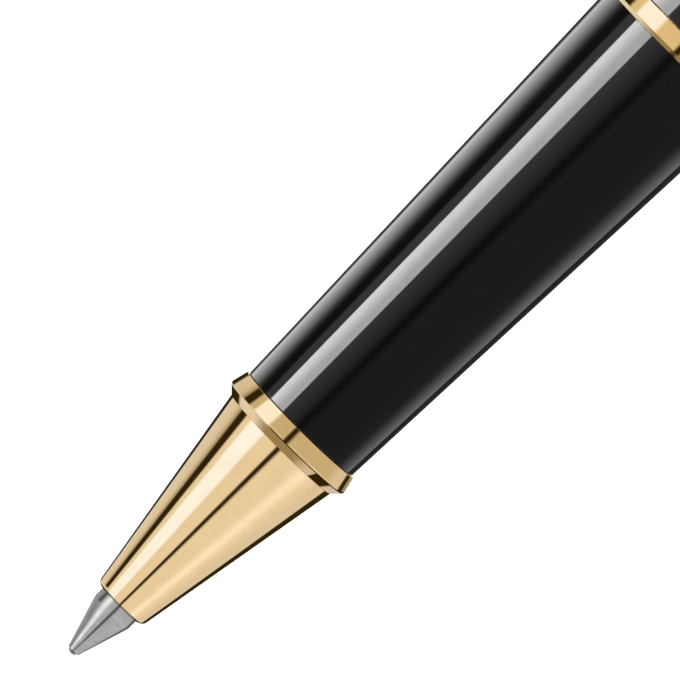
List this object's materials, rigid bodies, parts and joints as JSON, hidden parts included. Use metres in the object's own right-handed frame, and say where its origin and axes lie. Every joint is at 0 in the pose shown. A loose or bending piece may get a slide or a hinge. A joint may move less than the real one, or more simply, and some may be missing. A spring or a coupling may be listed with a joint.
{
  "type": "rollerball pen",
  "caption": "Slim capped rollerball pen with a polished cone nose, black grip and barrel, gold rings and its cap posted on the tail.",
  "frame": {"origin": "the writing point, the lowest point of the ball", "axes": "+Z along the pen's axis from the writing point to the crown of the posted cap; the clip faces -Y"},
  "size_m": [0.013, 0.0146, 0.1597],
  "materials": {
    "black_resin": "polished",
    "gold_plate": "polished",
    "turned_brass": "turned",
    "tip_steel": "satin",
    "ball_carbide": "polished",
    "refill_tube": "satin",
    "refill_plastic": "moulded",
    "fibre": "felt",
    "liner_plastic": "moulded",
    "spring_wire": "drawn"
  },
  "bodies": {
    "section": {"grip_section": "black_resin", "nose_cone": "gold_plate", "snap_ring": "gold_plate", "thread_sleeve": "turned_brass", "joint_ring": "gold_plate"},
    "refill": {"refill_body": "refill_tube", "refill_tip": "tip_steel", "refill_nose": "refill_plastic", "ink_wick": "fibre", "ink_reservoir": "fibre", "refill_end_plug": "refill_plastic"},
    "ball": {"refill_ball": "ball_carbide"},
    "spring": {"refill_spring": "spring_wire"},
    "barrel": {"barrel": "black_resin", "barrel_insert": "turned_brass", "tail_ring": "gold_plate", "tail_cap": "black_resin"},
    "cap": {"cap_shell": "black_resin", "cap_lip_ring": "gold_plate", "cap_band": "gold_plate", "cap_liner": "liner_plastic", "clip_ring": "gold_plate", "crown_screw": "turned_brass", "crown": "black_resin", "crown_inlay": "gold_plate"},
    "clip": {"clip": "gold_plate"}
  },
  "joints": [
    {"name": "refill_push", "type": "slide", "parent": "section", "child": "refill", "axis": [0, 0, 1], "range_m": [0, 0.0008], "stiffness_N_per_m": 500, "springref_m": -0.002, "deforming": ["refill_spring"]},
    {"name": "ball_roll", "type": "hinge", "parent": "refill", "child": "ball", "pos_m": [0, 0, 0.00035], "axis": [1, 0, 0], "continuous": true},
    {"name": "barrel_advance", "type": "slide", "parent": "section", "child": "spring", "axis": [0, 0, 1], "range_m": [0, 0.006]},
    {"name": "barrel_turn", "type": "hinge", "parent": "spring", "child": "barrel", "pos_m": [0, 0, 0.0525], "axis": [0, 0, 1], "range_deg": [0, 2160]},
    {"name": "cap_slide", "type": "slide", "parent": "barrel", "child": "cap", "axis": [0, 0, 1], "range_m": [0, 0.03]},
    {"name": "clip_lift", "type": "hinge", "parent": "cap", "child": "clip", "pos_m": [0, -0.00695, 0.1505], "axis": [-1, 0, 0], "range_deg": [0, 4], "stiffness_Nm_per_rad": 0.05, "springref_deg": -2.86}
  ],
  "couplings": [
    {"joint": "barrel_turn", "follows": "barrel_advance", "rad_per_m": 6283.2}
  ]
}
